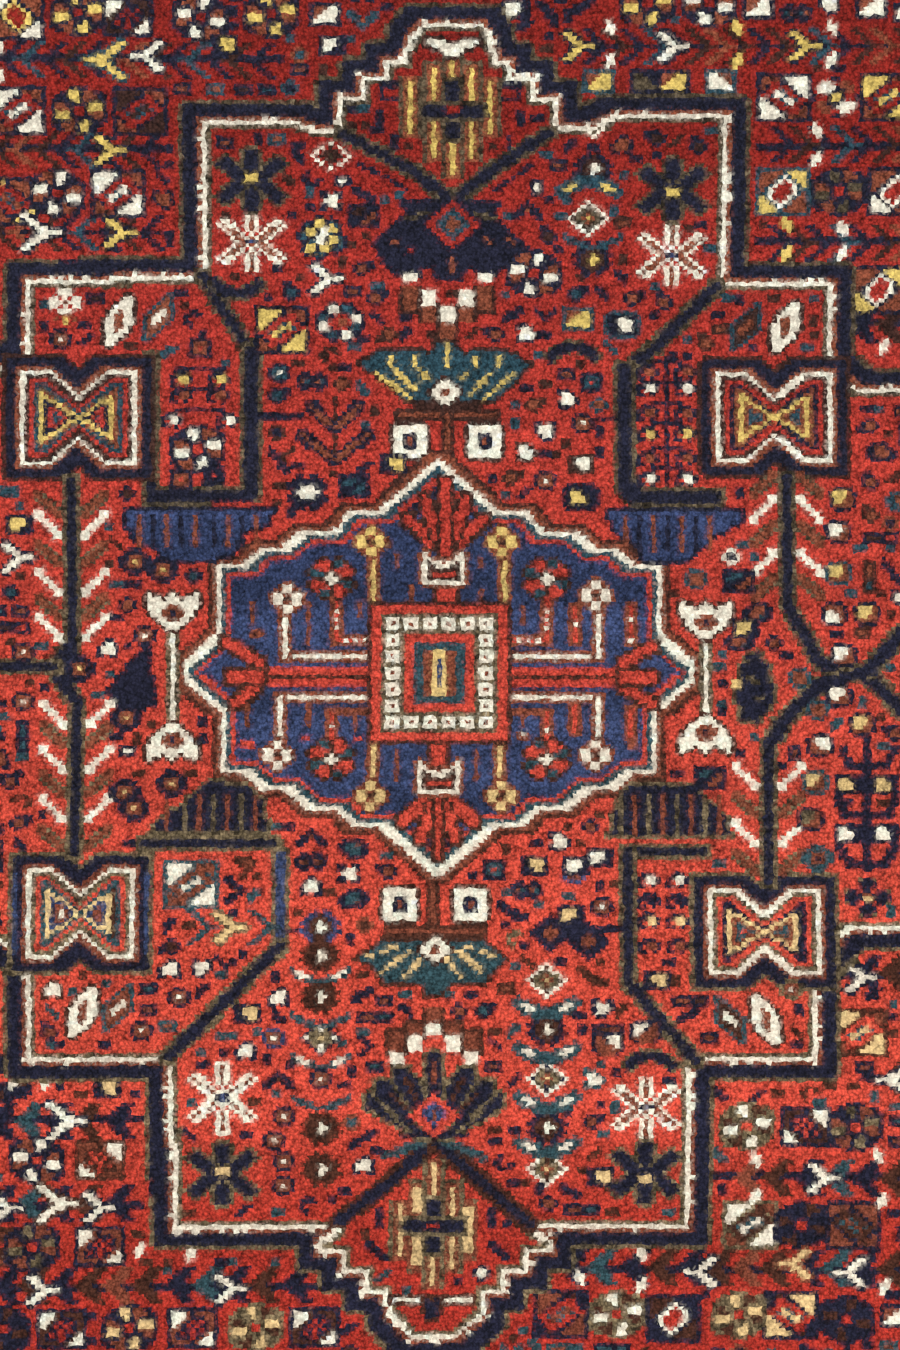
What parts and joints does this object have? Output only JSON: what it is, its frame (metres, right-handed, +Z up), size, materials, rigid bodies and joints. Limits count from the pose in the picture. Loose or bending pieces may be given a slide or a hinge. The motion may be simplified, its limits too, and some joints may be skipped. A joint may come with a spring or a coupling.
{
  "type": "knotted pile rug",
  "caption": "Small hand-knotted tribal wool rug, lying flat: a stepped medallion on a madder red field, overcast side cords and a warp fringe along each short end.",
  "frame": {"origin": "on the floor, under the middle of the rug and its fringes", "axes": "+X across the rug to its right side, +Y along the warps to the head end, +Z up out of the pile"},
  "size_m": [0.6418, 0.9993, 0.008],
  "materials": {
    "wool_pile": "matt cut wool pile: madder red, near-black navy, mid blue, teal, ivory, gold, rust and olive brown",
    "selvedge_wool": "dark brown wool, wrapped over the edge warps",
    "warp_wool": "undyed ivory warp yarn, twisted and knotted in tassels"
  },
  "bodies": {
    "root": {"rug": "wool_pile", "selvedge_left": "selvedge_wool", "selvedge_right": "selvedge_wool", "fringe_foot": "warp_wool", "fringe_head": "warp_wool"}
  },
  "joints": []
}
